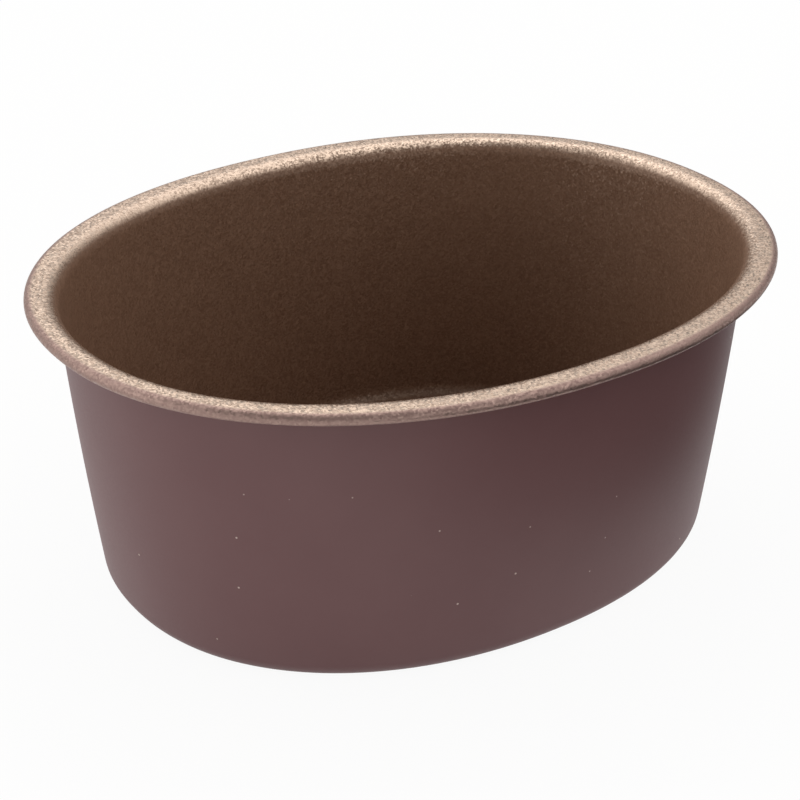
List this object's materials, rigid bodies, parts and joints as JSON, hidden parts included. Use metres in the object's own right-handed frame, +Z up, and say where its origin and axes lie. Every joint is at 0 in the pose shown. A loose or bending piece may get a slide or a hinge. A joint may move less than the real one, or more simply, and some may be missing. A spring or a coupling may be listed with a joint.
{
  "type": "aspic mould",
  "caption": "Deep oval mould with a flat base, walls that lean outward and a narrow rolled rim, non-stick inside and lacquered outside, for setting aspic or baking small portions.",
  "frame": {"origin": "middle of the base's underside, where the mould stands", "axes": "+X along the oval, +Y across it, +Z up out of the mould's mouth"},
  "size_m": [0.1, 0.08, 0.04],
  "materials": {
    "lacquer": "satin",
    "steel": "satin",
    "nonstick": "satin"
  },
  "bodies": {
    "root": {"outer_lacquer": "lacquer", "steel_shell": "steel", "nonstick_lining": "nonstick"}
  },
  "joints": []
}
